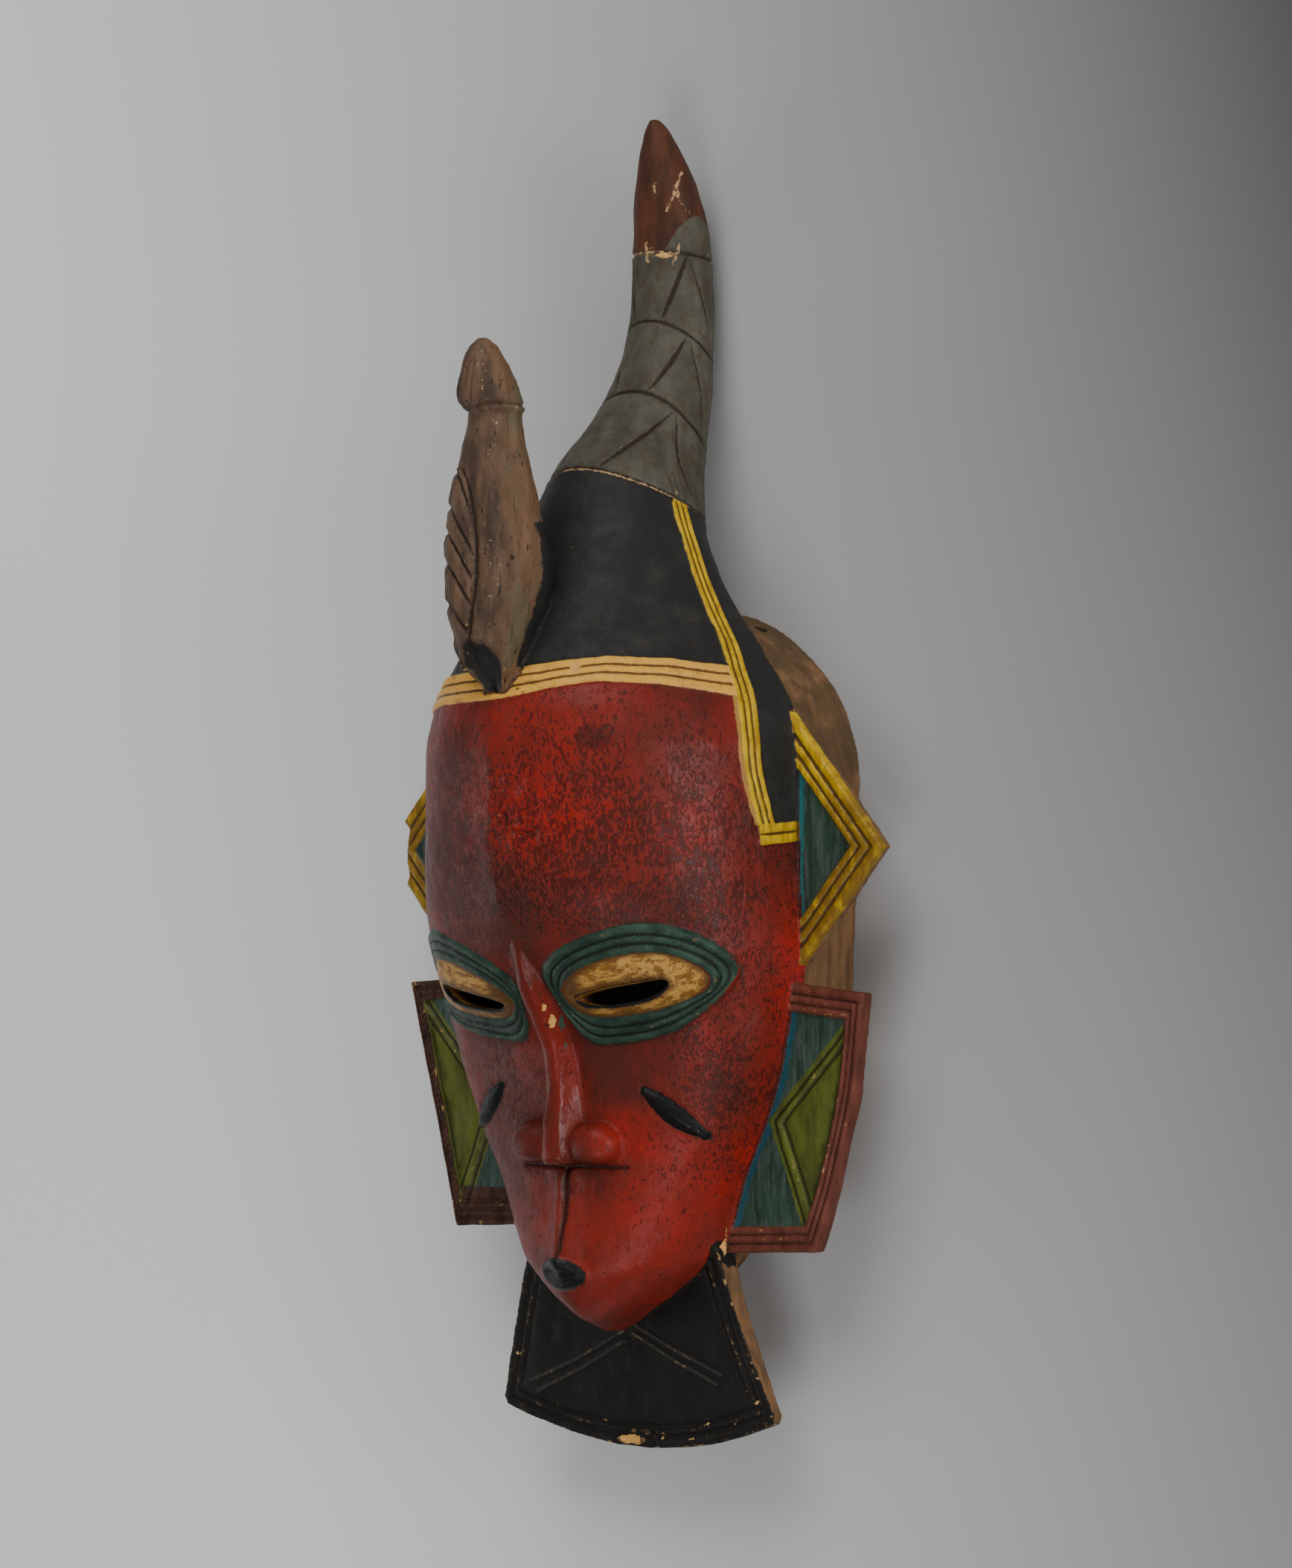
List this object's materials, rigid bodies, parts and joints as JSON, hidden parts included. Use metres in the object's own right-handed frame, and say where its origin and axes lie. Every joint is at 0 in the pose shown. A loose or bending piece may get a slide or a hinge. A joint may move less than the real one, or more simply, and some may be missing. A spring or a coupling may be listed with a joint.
{
  "type": "carved face mask",
  "caption": "Hollow wooden face mask in red, black, cream and yellow paint, with slit eyes, a ringed horn, a standing bird, framed ear plates and a flared beard plate.",
  "frame": {"origin": "on the surface that the rear rim lies on, under the middle of the mask's width and length", "axes": "+Z out of the face, away from the wearer; +Y up the face from the beard to the horn's tip; +X across the face, to the right as it is looked at"},
  "size_m": [0.243, 0.52, 0.1439],
  "materials": {
    "painted_wood": "painted: deep red face, black hair and beard, cream and yellow bands, teal panels; raw brown wood behind; satin, worn and darkened"
  },
  "bodies": {
    "root": {"mask": "painted_wood"}
  },
  "joints": []
}
